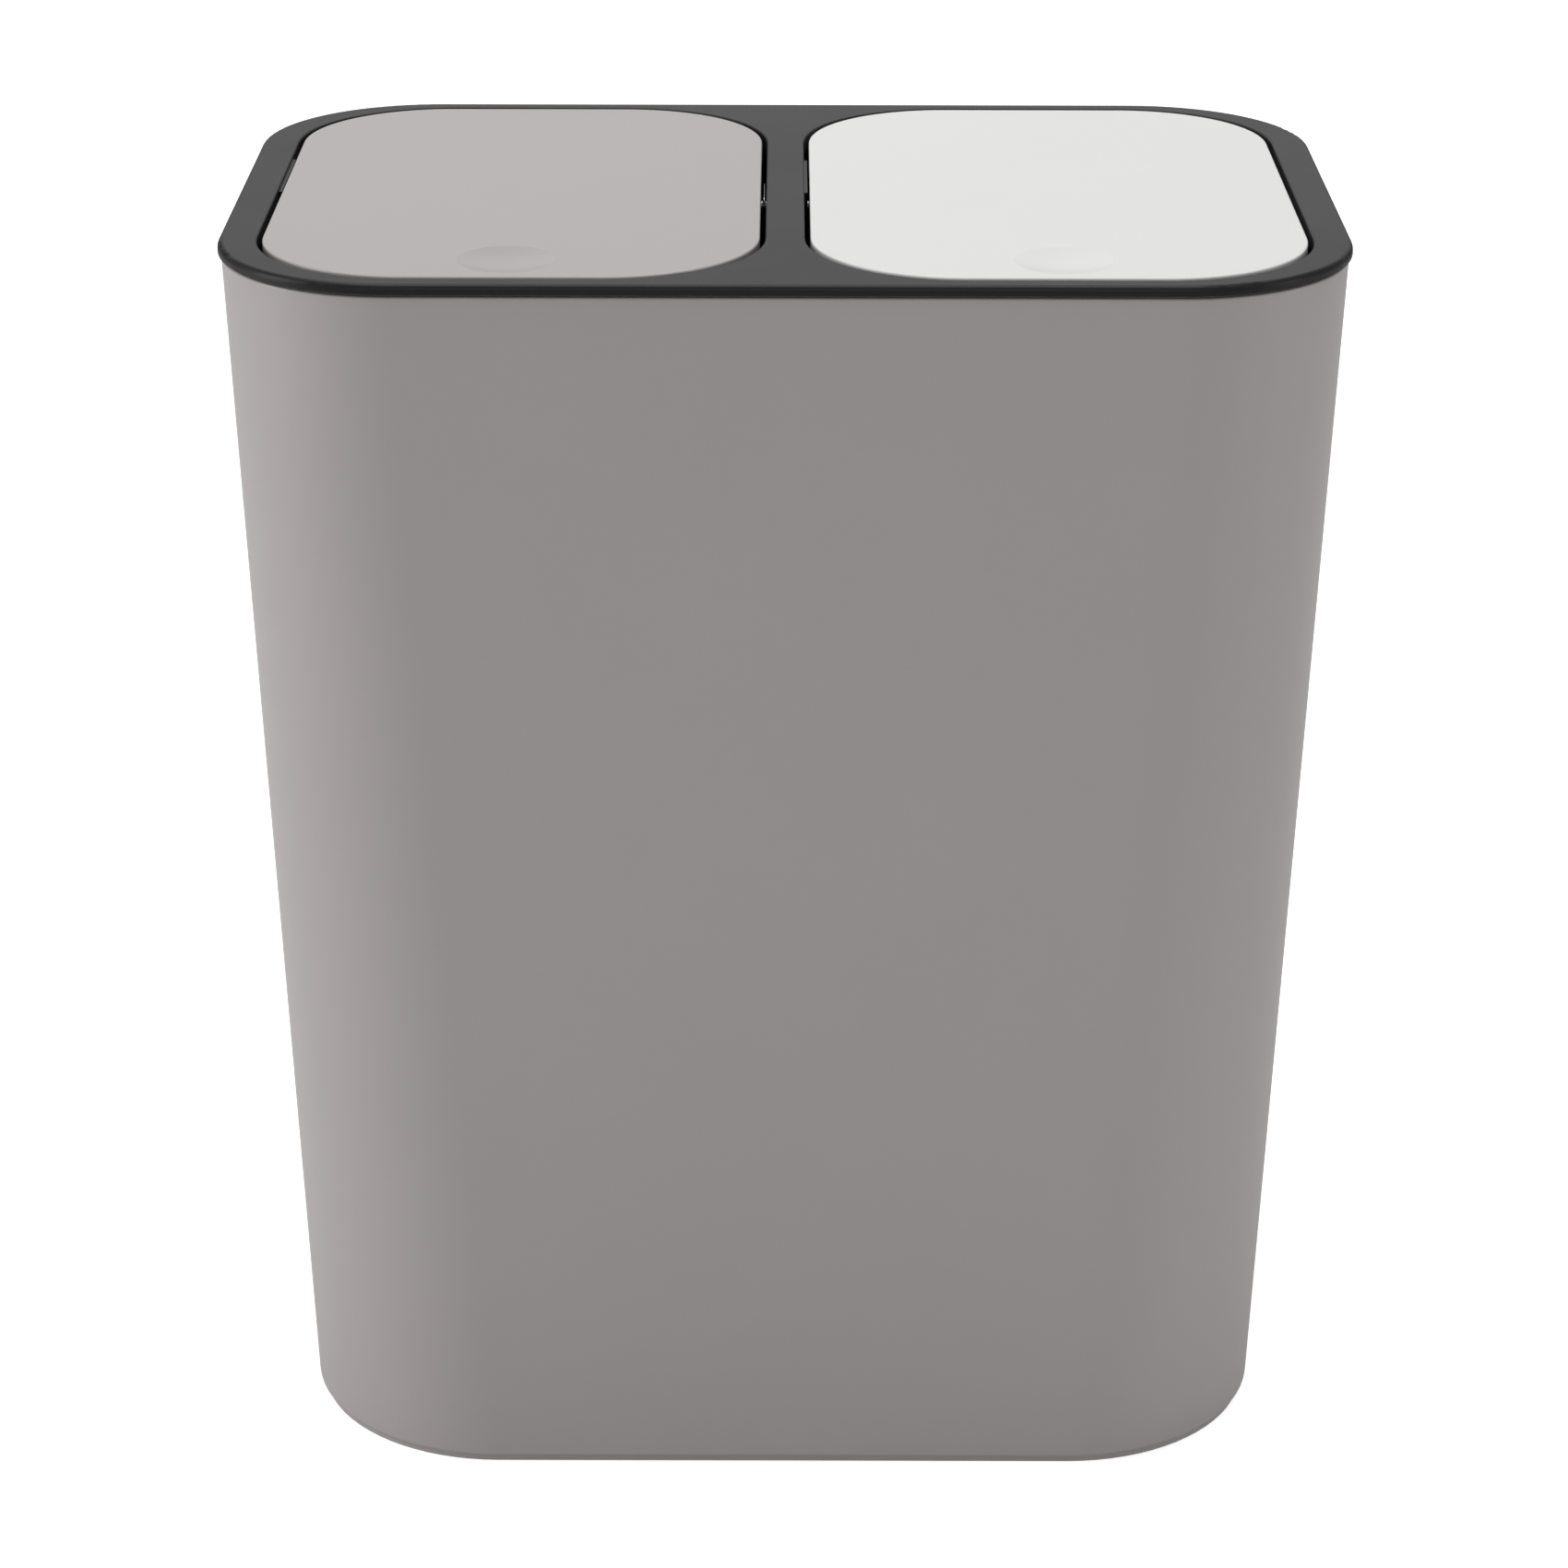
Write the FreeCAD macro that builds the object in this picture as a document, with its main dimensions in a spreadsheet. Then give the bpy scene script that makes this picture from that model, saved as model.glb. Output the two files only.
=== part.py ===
import FreeCAD, Part
import math
import os
import re
import Sketcher

# A floor-standing recycling bin with two compartments. X runs across the bin, Y from front to
# back and Z up. The origin is the middle of the base, on the floor. Sizes are in millimetres.

doc = FreeCAD.newDocument("RecyclingBin")

# ---------------------------------------------------------------------------------- sizes

SIZES = (
    # the whole bin
    ("frame_wide", "300", "across the lid frame"),
    ("frame_deep", "198", "front to back of the lid frame"),
    ("frame_corner", "48", "corner radius of the lid frame"),
    ("frame_top", "353", "top face of the lid frame above the floor"),
    ("base_wide", "277", "across the foot of the body"),
    ("base_deep", "178", "front to back of the foot of the body"),
    ("base_corner", "56.5", "corner radius of the foot of the body"),
    # the outer body
    ("body_wall", "2.4", "wall of the outer body"),
    ("body_floor", "2.4", "floor of the outer body"),
    ("body_reveal", "0.9", "the body stands this far inside the frame's edge"),
    ("body_step", "1.5", "the rim steps in by this much to make the shadow line"),
    ("shadow_gap", "0.9", "open height of the shadow line under the frame"),
    ("foot_high", "1.8", "height of the foot ring"),
    ("foot_inset", "1.5", "the foot ring stands in from the wall"),
    ("foot_thick", "3.2", "width of the foot ring"),
    ("base_edge_round", "1.6", "round at the bottom edge of the wall"),
    ("rim_edge_round", "0.6", "round on the body's lip"),
    # the lid frame
    ("strip_side", "10.4", "frame top beside an opening"),
    ("strip_front", "6.1", "frame top before and behind an opening"),
    ("strip_middle", "10.4", "frame top between the openings"),
    ("plate_thick", "2.2", "top plate of the frame"),
    ("skirt_high", "2.6", "outer edge of the frame"),
    ("skirt_thick", "1.6", "outer skirt of the frame"),
    ("frame_edge_round", "1.6", "round on the frame's outer top edge"),
    ("opening_edge_round", "0.6", "round on the edge of each opening"),
    ("plug_deep", "12", "the frame's locating wall reaches this far down"),
    ("plug_gap", "0.9", "play between locating wall and body"),
    ("plug_wall", "1.4", "locating wall"),
    ("throat_wall", "1.2", "wall round each opening"),
    ("seat_gap", "0.3", "air under a piece that rests on another"),
    # the lids
    ("lid_gap", "1.5", "between a lid and its opening"),
    ("lid_corner", "40", "corner radius of a lid"),
    ("lid_proud", "0.1", "the lids stand above the frame"),
    ("lid_thick", "2.4", "plate of a lid"),
    ("lid_flange_high", "5", "edge of a lid"),
    ("lid_flange_thick", "1.8", "wall of the lid's edge"),
    ("lid_edge_round", "0.5", "round on the lid's top edge"),
    ("dimple_wide", "26", "fingertip dimple"),
    ("dimple_deep", "1.3", "depth of the dimple"),
    ("dimple_back", "17", "dimple's centre behind the lid's front edge"),
    # the hinges
    ("hinge_from_rear", "75", "hinge line before the lid's rear edge"),
    ("hinge_below", "9.6", "hinge line under the lid's top"),
    ("pin_wide", "3", "hinge pin diameter"),
    ("pin_fit", "0.05", "radial play round a pin"),
    ("pin_bearing", "4.2", "length of pin inside the frame"),
    ("pin_end_play", "0.4", "bearing hole past the pin's end"),
    ("pin_head_wide", "5.6", "head diameter"),
    ("pin_head_thick", "1.4", "head thickness"),
    ("ear_thick", "4", "pivot ear under a lid"),
    ("ear_wide", "9", "pivot ear, front to back"),
    ("bearing_wide", "9", "bearing block in the frame, front to back"),
    ("collar_long", "36", "bearing collar in the left-hand gap, front to back"),
    ("collar_low", "3.8", "the collar reaches this far under the hinge line"),
    ("collar_drop", "1", "the collar's top under the frame's top"),
    ("collar_gap", "0.6", "collar to ear"),
    # the torsion springs
    ("coil_wire", "0.8", "spring wire"),
    ("coil_wide", "4.8", "mean diameter of the coil"),
    ("coil_pitch", "1.5", "advance of the coil for a turn"),
    ("coil_turns", "4", "turns before the rise of the free leg is taken off"),
    ("coil_rise", "15", "the free leg rises by this angle"),
    ("coil_fixed_leg", "14", "leg that lies against the frame"),
    ("coil_free_leg", "13", "leg under the lid"),
    ("coil_side_gap", "0.45", "coil to ear"),
    # the touch latches
    ("latch_back", "9", "latch centre behind the lid's front edge"),
    ("latch_press", "1.8", "the lid's press travel at the latch"),
    ("latch_rise", "3", "room over the slider for its rise when it lets go"),
    ("latch_gap", "0.6", "air over and under the moving pieces of the latch"),
    ("housing_wide", "22.4", "latch housing across"),
    ("housing_deep", "14", "latch housing front to back"),
    ("housing_high", "30", "latch housing height"),
    ("housing_side", "2.2", "side wall of the housing"),
    ("housing_front", "2", "front and back wall of the housing"),
    ("housing_floor", "2.5", "floor of the housing"),
    ("slide_fit", "0.3", "slider to housing"),
    ("slider_block", "9", "height of the slider's block"),
    ("arm_thick", "2", "arm of the slider"),
    ("claw_reach", "2", "claw past the arm's inner face"),
    ("claw_high", "3", "height of a claw"),
    ("striker_stem", "4", "striker stem across"),
    ("striker_head", "8", "striker head across"),
    ("striker_head_high", "4.2", "height of the striker's head"),
    ("striker_drop", "15.5", "striker below the lid's plate"),
    ("striker_deep", "5", "striker front to back"),
    ("striker_plate_wide", "20", "striker's plate across"),
    ("striker_plate_deep", "12", "striker's plate front to back"),
    ("striker_plate_thick", "1.6", "striker's plate"),
    ("socket_rib", "1.2", "rib round the striker's plate"),
    ("socket_fit", "0.1", "striker's plate to its ribs"),
    ("cheek_thick", "1.8", "cheek that holds the housing"),
    ("cheek_high", "11", "height of a cheek"),
    ("cheek_deep", "17", "a cheek stands this far out of the throat wall"),
    ("cheek_fit", "0.3", "cheek to housing"),
    ("latch_wire", "0.7", "wire of the latch spring"),
    ("latch_coil_wide", "4", "mean diameter of the latch spring"),
    ("latch_coil_forward", "1", "latch spring before the middle of the latch"),
    ("latch_coil_pitch", "1.6", "advance of the latch spring for a turn"),
    ("latch_coil_turns", "4", "turns of the latch spring"),
    ("spring_bore_play", "0.5", "latch spring to its bore in the slider"),
    ("cam_wire", "1.2", "cam pin diameter"),
    ("cam_groove_wide", "4.4", "groove in the slider's back"),
    ("cam_groove_deep", "1.8", "depth of that groove"),
    ("cam_pin_high", "9", "cam pin from end to end"),
    ("screw_wide", "2.5", "latch screw shank"),
    ("screw_head_wide", "4.6", "latch screw head"),
    ("screw_head_thick", "1.6", "latch screw head thickness"),
    ("screw_long", "3.8", "latch screw shank length"),
    ("screw_drop", "7", "latch screws below the housing's top"),
    # the liners and their handles
    ("liner_drop", "8.8", "liner rim below the frame's locating wall"),
    ("liner_gap", "1", "liner lip to body"),
    ("liner_base_gap", "1.2", "liner wall to body at the floor"),
    ("liner_lip", "1.2", "liner lip past its wall"),
    ("liner_lip_high", "4", "height of the lip"),
    ("liner_wall", "1.6", "wall of a liner"),
    ("liner_floor", "1.8", "floor of a liner"),
    ("liner_half_gap", "1.2", "liner lip to the middle of the bin"),
    ("liner_draft", "2.8", "lean of the inner wall from rim to floor"),
    ("liner_edge_round", "6", "round at a liner's floor"),
    ("handle_thick", "2", "handle strip, across"),
    ("handle_high", "3.6", "handle strip height"),
    ("handle_gap", "0.3", "handle to liner"),
    ("handle_eye", "5.2", "diameter of the handle's eye"),
    ("handle_pivot", "2.6", "pivot stub diameter"),
    ("handle_stud_wide", "3.6", "stud head diameter"),
    ("handle_stud_thick", "0.8", "stud head thickness"),
    ("tab_wide", "10", "tab for the handle, front to back"),
    ("tab_high", "4.6", "tab above the rim"),
)

PLACES = (
    # levels
    ("plate_low", "frame_top - plate_thick"),
    ("skirt_low", "frame_top - skirt_high"),
    ("step_level", "skirt_low - shadow_gap"),
    ("upstand_top", "plate_low - seat_gap"),
    ("plug_low", "plate_low - plug_deep"),
    ("lid_top", "frame_top + lid_proud"),
    ("lid_plate_low", "lid_top - lid_thick"),
    ("lid_edge_low", "lid_top - lid_flange_high"),
    ("hinge_level", "lid_top - hinge_below"),
    # outlines
    ("rim_wide", "frame_wide - 2 * body_reveal"),
    ("rim_deep", "frame_deep - 2 * body_reveal"),
    ("rim_corner", "frame_corner - body_reveal"),
    ("plug_inset", "body_reveal + body_wall + plug_gap"),
    ("opening_wide", "(frame_wide - 2 * strip_side - strip_middle) / 2"),
    ("opening_deep", "frame_deep - 2 * strip_front"),
    ("opening_corner", "lid_corner + lid_gap"),
    ("lid_centre", "(strip_middle + opening_wide) / 2"),
    ("lid_wide", "opening_wide - 2 * lid_gap"),
    ("lid_deep", "opening_deep - 2 * lid_gap"),
    ("hinge_back", "lid_deep / 2 - hinge_from_rear"),
    # lean of the body's walls
    ("wall_high", "step_level - foot_high"),
    ("lean_side", "(rim_wide - base_wide) / 2 / wall_high"),
    ("lean_front", "(rim_deep - base_deep) / 2 / wall_high"),
    ("lean_corner", "(rim_corner - base_corner) / wall_high"),
    ("floor_top", "foot_high + body_floor"),
    ("inside_top", "upstand_top + body_wall"),
    ("inside_rise", "inside_top - step_level"),
    # hinge pieces, measured from the middle of a lid
    ("pin_hole", "pin_wide + 2 * pin_fit"),
    ("coil_advance", "(coil_turns * 4 - 1) * coil_pitch / 4"),
    ("coil_wall_place", "opening_wide / 2 - seat_gap - coil_wire / 2"),
    ("coil_ear_place", "coil_wall_place - coil_advance"),
    ("spring_ear_face", "coil_ear_place - coil_wire / 2 - coil_side_gap"),
    ("plain_ear_face", "lid_wide / 2"),
    # latch
    ("latch_place", "latch_back - lid_deep / 2"),
    ("housing_top", "lid_edge_low - latch_press - latch_gap"),
    ("housing_low", "housing_top - housing_high"),
    ("cavity_low", "housing_low + housing_floor"),
    ("cavity_wide", "housing_wide - 2 * housing_side"),
    ("cavity_deep", "housing_deep - 2 * housing_front"),
    ("slider_low", "cavity_low + latch_press + latch_gap"),
    ("slider_wide", "cavity_wide - 2 * slide_fit"),
    ("slider_deep", "cavity_deep - 2 * slide_fit"),
    ("slider_top", "lid_plate_low - striker_plate_thick - seat_gap - latch_gap - latch_rise"),
    ("striker_low", "lid_plate_low - striker_drop"),
    ("latch_coil_long", "(latch_coil_turns * 4 - 1) * latch_coil_pitch / 4"),
    ("latch_coil_low", "cavity_low + seat_gap + latch_wire / 2"),
    ("latch_coil_top", "latch_coil_low + latch_coil_long + latch_wire / 2"),
    ("spring_bore_top", "latch_coil_top + latch_press + latch_gap"),
    ("spring_bore_wide", "latch_coil_wide + latch_wire + 2 * spring_bore_play"),
    ("screw_level", "housing_top - screw_drop"),
    ("screw_hole", "screw_wide + 2 * pin_fit"),
    ("cheek_face", "housing_wide / 2 + cheek_fit"),
    # liners: places of the right one
    ("liner_rim", "plug_low - liner_drop"),
    ("liner_low", "floor_top + seat_gap"),
    ("rim_level_up", "liner_rim - foot_high"),
    ("liner_out_top", "base_wide / 2 + lean_side * rim_level_up - body_wall - liner_gap - liner_lip"),
    ("liner_in_top", "liner_half_gap + liner_lip"),
    ("liner_out_low", "base_wide / 2 - body_wall - liner_base_gap"),
    ("liner_in_low", "liner_in_top + liner_draft"),
    ("liner_half_top", "base_deep / 2 + lean_front * rim_level_up - body_wall - liner_gap - liner_lip"),
    ("liner_half_low", "base_deep / 2 - body_wall - liner_base_gap"),
    ("liner_corner_top", "base_corner + lean_corner * rim_level_up - body_wall - liner_lip"),
    ("liner_corner_low", "base_corner - body_wall"),
    ("handle_low", "liner_rim + handle_gap"),
    ("handle_level", "handle_low + handle_high / 2"),
    ("handle_in", "liner_in_top + liner_wall + handle_gap"),
    ("handle_out", "liner_out_top - liner_wall - handle_gap"),
)

sizes = doc.addObject("Spreadsheet::Sheet", "Sizes")
for row, (name, number, note) in enumerate(SIZES, 1):
    sizes.set(f"A{row}", note)
    sizes.set(f"B{row}", number)
    sizes.setAlias(f"B{row}", name)
places = doc.addObject("Spreadsheet::Sheet", "Places")
SHEET_OF = {name: "Sizes" for name, number, note in SIZES}
SHEET_OF.update({name: "Places" for name, formula in PLACES})


def of(formula):
    """The formula with each size's name led by the name of its sheet."""
    return re.sub(r"[a-z_]+", lambda word: f"{SHEET_OF[word[0]]}.{word[0]}"
                  if word[0] in SHEET_OF else word[0], str(formula))


for row, (name, formula) in enumerate(PLACES, 1):
    places.set(f"A{row}", name)
    places.set(f"B{row}", "=" + of(formula))
    places.setAlias(f"B{row}", name)
doc.recompute()


def value(formula):
    """The number that a formula of named sizes comes to."""
    return float(sizes.evalExpression(of(formula)))


# ------------------------------------------------------------------- sketches and features

def draw_rounded(sketch, mark, centre, middle, wide, deep, corner):
    """A rounded rectangle about (centre, middle): four lines joined by four equal arcs."""
    cx, cy, w, d, r = (value(item) for item in (centre, middle, wide, deep, corner))
    left, right, low, high = cx - w / 2, cx + w / 2, cy - d / 2, cy + d / 2
    point = FreeCAD.Vector
    ends = (
        ((left + r, low), (right - r, low)),
        ((right, low + r), (right, high - r)),
        ((right - r, high), (left + r, high)),
        ((left, high - r), (left, low + r)),
    )
    corners = (
        (right - r, low + r, -90),
        (right - r, high - r, 0),
        (left + r, high - r, 90),
        (left + r, low + r, 180),
    )
    first = sketch.GeometryCount
    for start, end in ends:
        sketch.addGeometry(Part.LineSegment(point(*start, 0), point(*end, 0)))
    for x, y, turn in corners:
        circle = Part.Circle(point(x, y, 0), point(0, 0, 1), r)
        begin = math.radians(turn)
        sketch.addGeometry(Part.ArcOfCircle(circle, begin, begin + math.pi / 2))
    for side in range(4):
        arc = first + 4 + side
        following = first + (side + 1) % 4
        sketch.addConstraint(Sketcher.Constraint("Tangent", first + side, 2, arc, 1))
        sketch.addConstraint(Sketcher.Constraint("Tangent", arc, 2, following, 1))
        direction = "Horizontal" if side % 2 == 0 else "Vertical"
        sketch.addConstraint(Sketcher.Constraint(direction, first + side))
        if side:
            sketch.addConstraint(Sketcher.Constraint("Equal", first + 4, arc))
    measures = (
        ("DistanceY", 0, low, f"{middle} - ({deep}) / 2"),
        ("DistanceX", 1, right, f"{centre} + ({wide}) / 2"),
        ("DistanceY", 2, high, f"{middle} + ({deep}) / 2"),
        ("DistanceX", 3, left, f"{centre} - ({wide}) / 2"),
    )
    for kind, side, number, formula in measures:
        bind_constraint(sketch, f"{mark}{kind}{side}", (kind, first + side, 1, number), formula)
    bind_constraint(sketch, f"{mark}Corner", ("Radius", first + 4, r), corner)


def draw_circle(sketch, mark, centre, middle, wide):
    """A circle of diameter wide about (centre, middle)."""
    x, y, radius = value(centre), value(middle), value(wide) / 2
    index = sketch.GeometryCount
    sketch.addGeometry(Part.Circle(FreeCAD.Vector(x, y, 0), FreeCAD.Vector(0, 0, 1), radius))
    bind_constraint(sketch, f"{mark}Across", ("DistanceX", index, 3, x), centre)
    bind_constraint(sketch, f"{mark}Up", ("DistanceY", index, 3, y), middle)
    bind_constraint(sketch, f"{mark}Radius", ("Radius", index, radius), f"({wide}) / 2")


def draw_polygon(sketch, mark, corners):
    """A closed outline of straight lines through the corners, given in order."""
    spots = [(value(across), value(up)) for across, up in corners]
    first = sketch.GeometryCount
    for index, (across, up) in enumerate(spots):
        x, y = spots[(index + 1) % len(spots)]
        start = FreeCAD.Vector(across, up, 0)
        sketch.addGeometry(Part.LineSegment(start, FreeCAD.Vector(x, y, 0)))
    for index in range(len(spots)):
        line = first + index
        following = first + (index + 1) % len(spots)
        sketch.addConstraint(Sketcher.Constraint("Coincident", line, 2, following, 1))
    for index, (across, up) in enumerate(corners):
        line = first + index
        x, y = spots[index]
        bind_constraint(sketch, f"{mark}Across{index}", ("DistanceX", line, 1, x), across)
        bind_constraint(sketch, f"{mark}Up{index}", ("DistanceY", line, 1, y), up)


def draw_box(sketch, mark, left, right, low, high):
    """A rectangle between two places across and two places up."""
    draw_polygon(sketch, mark, ((left, low), (right, low), (right, high), (left, high)))


def bind_constraint(sketch, name, arguments, formula):
    """A named size in a sketch that follows the sheets."""
    index = sketch.addConstraint(Sketcher.Constraint(*arguments))
    sketch.renameConstraint(index, name)
    sketch.setExpression(f"Constraints.{name}", of(formula))


DRAW = {"rounded": draw_rounded, "circle": draw_circle, "polygon": draw_polygon, "box": draw_box}


def new_sketch(body, name, plane, level, outlines):
    """A sketch on an origin plane of the body, moved along that plane's normal to level."""
    sketch = body.newObject("Sketcher::SketchObject", name)
    origin = [item for item in body.Origin.OriginFeatures if item.Role == plane][0]
    sketch.AttachmentSupport = [(origin, "")]
    sketch.MapMode = "FlatFace"
    sketch.setExpression("AttachmentOffset.Base.z", of(level))
    for index, (kind, *arguments) in enumerate(outlines):
        DRAW[kind](sketch, f"Line{index}", *arguments)
    return sketch


def extrude(body, name, plane, outlines, start, stop, cut=False):
    """Adds or cuts the outlines from start to stop along X, Y or Z.

    The XZ plane faces the front, so there the sketch lies at stop and runs forward to start.
    """
    level = f"-({stop})" if plane == "XZ_Plane" else start
    sketch = new_sketch(body, name + "Sketch", plane, level, outlines)
    before = None if body.Tip is None else body.Tip.Shape.Volume
    kind = "PartDesign::Pocket" if cut else "PartDesign::Pad"
    feature = body.newObject(kind, name)
    feature.Profile = sketch
    feature.Reversed = cut
    feature.setExpression("Length", of(f"({stop}) - ({start})"))
    doc.recompute()
    if cut and feature.Shape.Volume > before - 1e-6:
        raise ValueError(f"{body.Label}: {name} cuts nothing")
    return feature


def taper(body, name, sections, cut=False):
    """Adds or cuts straight walls through outlines that lie one above the other."""
    sketches = [new_sketch(body, f"{name}Sketch{index}", "XY_Plane", level, [outline])
                for index, (level, outline) in enumerate(sections)]
    before = None if body.Tip is None else body.Tip.Shape.Volume
    kind = "PartDesign::SubtractiveLoft" if cut else "PartDesign::AdditiveLoft"
    feature = body.newObject(kind, name)
    feature.Profile = sketches[0]
    feature.Sections = sketches[1:]
    feature.Ruled = True
    doc.recompute()
    if cut and feature.Shape.Volume > before - 1e-6:
        raise ValueError(f"{body.Label}: {name} cuts nothing")
    return feature


def round_base(level, outline, radius, steps=3):
    """Outlines that round the bottom edge of a tapered wall in a few flats."""
    sections = []
    for step in range(steps + 1):
        angle = math.pi / 2 * step / steps
        side = 1 - math.sin(angle)
        rise = 1 - math.cos(angle)
        sections.append((f"{level} + {radius} * {rise:.6f}",
                         inset(outline, f"{radius} * {side:.6f}")))
    return sections


def round_edges(body, name, radius, chosen):
    """Rounds the edges of the body that the function chosen picks."""
    base = body.Tip
    picked = [f"Edge{index}" for index, edge in enumerate(base.Shape.Edges, 1) if chosen(edge)]
    if not picked:
        raise ValueError(f"{body.Label}: {name} finds no edge")
    feature = body.newObject("PartDesign::Fillet", name)
    feature.Base = (base, picked)
    feature.setExpression("Radius", of(radius))
    doc.recompute()
    return feature


def at_level(level, slack=1e-4):
    """Picks edges that lie flat at one height."""
    height = value(level)

    def flat_there(edge):
        box = edge.BoundBox
        return abs(box.ZMin - height) < slack and abs(box.ZMax - height) < slack

    return flat_there


def new_body(label):
    body = doc.addObject("PartDesign::Body", label)
    body.Label = label
    return body


def oval(centre, middle, wide, deep, corner):
    return ("rounded", centre, middle, wide, deep, corner)


def inset(outline, distance):
    """The same rounded rectangle, smaller by a distance all round."""
    kind, centre, middle, wide, deep, corner = outline
    shrink = f"2 * ({distance})"
    return (kind, centre, middle, f"{wide} - {shrink}", f"{deep} - {shrink}",
            f"{corner} - ({distance})")


# ---------------------------------------------------------------------------- outer body

def make_outer_body():
    """The tapered shell: a floor on a foot ring, leaning walls and a stepped rim."""
    body = new_body("outer_body")
    base = oval("0", "0", "base_wide", "base_deep", "base_corner")
    rim = oval("0", "0", "rim_wide", "rim_deep", "rim_corner")
    wall = round_base("foot_high", base, "base_edge_round")
    wall.append(("step_level - rim_edge_round", rim))
    wall.append(("step_level", inset(rim, "rim_edge_round")))
    taper(body, "Wall", wall)
    extrude(body, "Upstand", "XY_Plane", [inset(rim, "body_step")],
            "step_level - body_wall", "upstand_top")
    inner_low = oval("0", "0", "base_wide + 2 * lean_side * body_floor",
                     "base_deep + 2 * lean_front * body_floor",
                     "base_corner + lean_corner * body_floor")
    inner_high = oval("0", "0", "rim_wide + 2 * lean_side * inside_rise",
                      "rim_deep + 2 * lean_front * inside_rise",
                      "rim_corner + lean_corner * inside_rise")
    taper(body, "Inside", [("floor_top", inset(inner_low, "body_wall")),
                           ("inside_top", inset(inner_high, "body_wall"))], cut=True)
    foot = inset(base, "foot_inset")
    extrude(body, "FootRing", "XY_Plane", [foot, inset(foot, "foot_thick")],
            "0", "foot_high + body_floor / 2")
    return body


# ----------------------------------------------------------------------------- lid frame

SIDES = (("left", -1), ("right", 1))
PAST = 1        # a cut runs this far past the face that it opens


def make_lid_frame():
    """The top frame: plate, skirt, locating wall, a throat round each opening, bearings."""
    body = new_body("lid_frame")
    outer = oval("0", "0", "frame_wide", "frame_deep", "frame_corner")
    extrude(body, "Plate", "XY_Plane", [outer], "skirt_low", "frame_top")
    round_edges(body, "OuterEdge", "frame_edge_round", at_level("frame_top"))
    extrude(body, "SkirtInside", "XY_Plane", [inset(outer, "skirt_thick")],
            "skirt_low", "plate_low", cut=True)
    plug = inset(outer, "plug_inset")
    extrude(body, "LocatingWall", "XY_Plane", [plug, inset(plug, "plug_wall")],
            "plug_low", "plate_low + plate_thick / 2")
    for name, side in SIDES:
        opening = oval(f"{side} * lid_centre", "0", "opening_wide", "opening_deep",
                       "opening_corner")
        extrude(body, f"{name}Throat", "XY_Plane", [inset(opening, "-throat_wall")],
                "plug_low", "plate_low + plate_thick / 2")
    block = ("box", "hinge_back - bearing_wide / 2", "hinge_back + bearing_wide / 2",
             "plug_low + seat_gap", "frame_top - plate_thick / 2")
    reach = "frame_wide / 2 - plug_inset - plug_wall / 2"
    extrude(body, "BearingBlocks", "YZ_Plane", [block], f"-({reach})", reach)
    for name, side in SIDES:
        opening = oval(f"{side} * lid_centre", "0", "opening_wide", "opening_deep",
                       "opening_corner")
        extrude(body, f"{name}Opening", "XY_Plane", [opening], f"plug_low - {PAST}",
                f"frame_top + {PAST}", cut=True)
    round_edges(body, "OpeningEdges", "opening_edge_round", is_opening_edge)
    for name, side in SIDES:
        add_bearings(body, name, f"{side} * lid_centre")
        add_cheeks(body, name, f"{side} * lid_centre")
    return body


def is_opening_edge(edge):
    """Picks the top edges of the two openings, and leaves the rounded outer edge."""
    box = edge.BoundBox
    slack = 1e-3
    along = max(abs(box.YMin), abs(box.YMax))
    across = max(abs(box.XMin), abs(box.XMax))
    return (at_level("frame_top")(edge) and along < value("opening_deep / 2") + slack
            and across < value("lid_centre + opening_wide / 2") + slack)


def add_bearings(body, name, centre):
    """A blind bore for each hinge pin, with a collar in the left-hand gap."""
    collar = ("box", "hinge_back - collar_long / 2", "hinge_back + collar_long / 2",
              "hinge_level - collar_low", "frame_top - collar_drop")
    extrude(body, f"{name}Collar", "YZ_Plane", [collar],
            f"{centre} - opening_wide / 2 - throat_wall / 2",
            f"{centre} - lid_wide / 2 - collar_gap")
    bore = ("circle", "hinge_back", "hinge_level", "pin_hole")
    deep = "pin_bearing + pin_end_play"
    extrude(body, f"{name}LeftBore", "YZ_Plane", [bore],
            f"{centre} - opening_wide / 2 - ({deep})", f"{centre} - lid_wide / 2", cut=True)
    extrude(body, f"{name}RightBore", "YZ_Plane", [bore],
            f"{centre} + lid_wide / 2", f"{centre} + opening_wide / 2 + {deep}", cut=True)


def add_cheeks(body, name, centre):
    """Two cheeks on the front throat wall that hold the latch housing between them."""
    wall = "-(opening_deep / 2)"
    for hand, turn_side in (("Left", -1), ("Right", 1)):
        inner = f"{centre} + {turn_side} * cheek_face"
        outer = f"{centre} + {turn_side} * (cheek_face + cheek_thick)"
        start, stop = (outer, inner) if turn_side < 0 else (inner, outer)
        cheek = ("box", f"{wall} - throat_wall / 2", f"{wall} + cheek_deep",
                 "housing_top - cheek_high", "housing_top")
        extrude(body, f"{name}{hand}Cheek", "YZ_Plane", [cheek], start, stop)
        hole = ("circle", "latch_place", "screw_level", "screw_hole")
        extrude(body, f"{name}{hand}ScrewHole", "YZ_Plane", [hole], start, stop, cut=True)


# ---------------------------------------------------------------------------------- lids

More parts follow.
